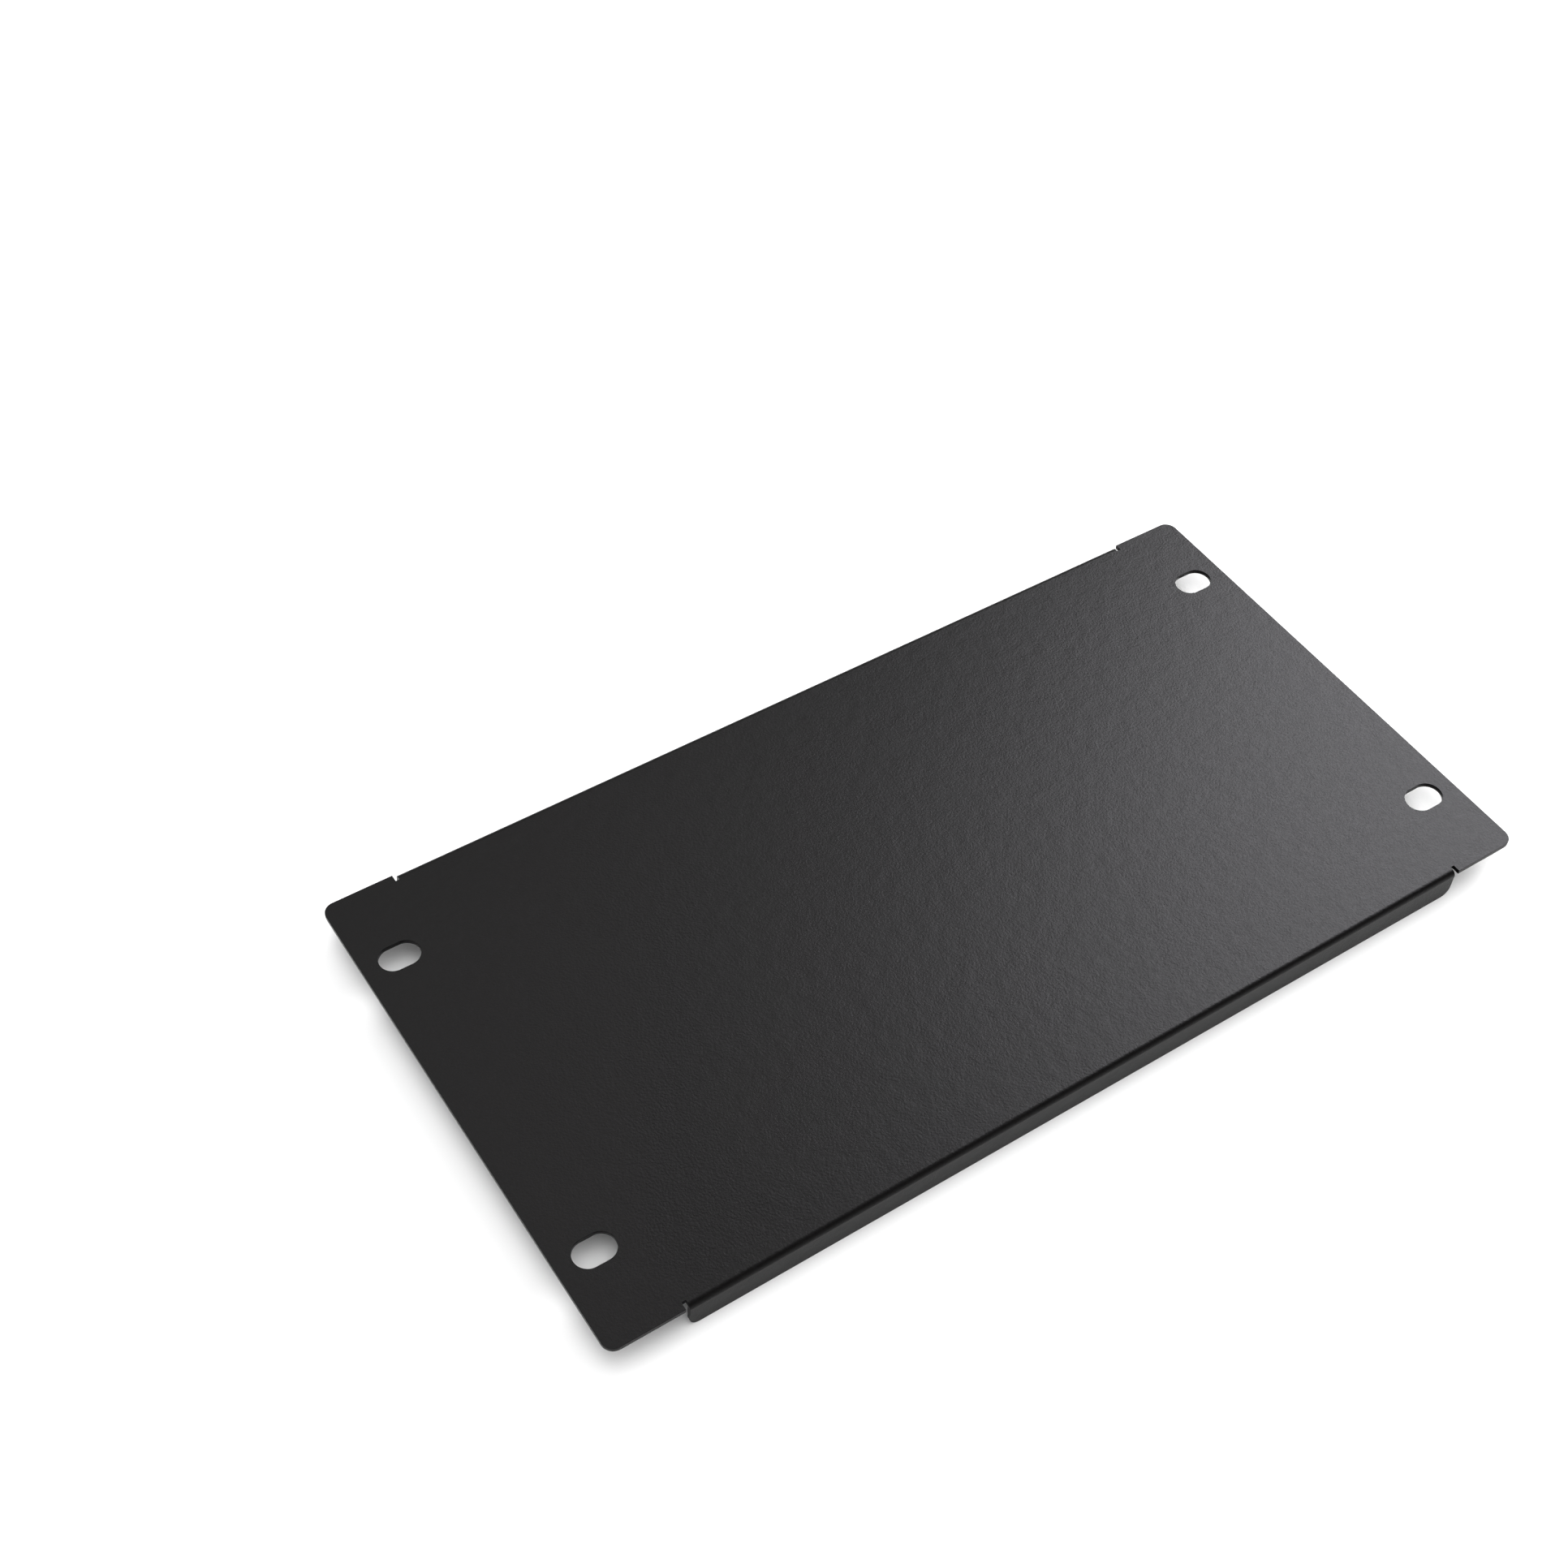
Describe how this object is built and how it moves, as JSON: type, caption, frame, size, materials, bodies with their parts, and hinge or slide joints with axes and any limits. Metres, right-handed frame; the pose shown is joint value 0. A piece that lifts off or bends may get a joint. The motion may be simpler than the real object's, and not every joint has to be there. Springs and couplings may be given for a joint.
{
  "type": "rack blanking panel",
  "caption": "Flat folded steel blanking panel for a ten-inch rack, with slotted ears, relief cuts and a rear stiffening flange along each long edge.",
  "frame": {"origin": "middle of the slot pattern, on the rear face of the ears, which meets the rack rails", "axes": "+X along the panel's length, +Y up the rack, +Z out of the front face"},
  "size_m": [0.2554, 0.1324, 0.0082],
  "materials": {
    "powder_coat": "black satin powder coat with a fine grain, the same on faces, folds, cut edges and rear"
  },
  "bodies": {
    "root": {"blanking_panel": "powder_coat"}
  },
  "joints": []
}
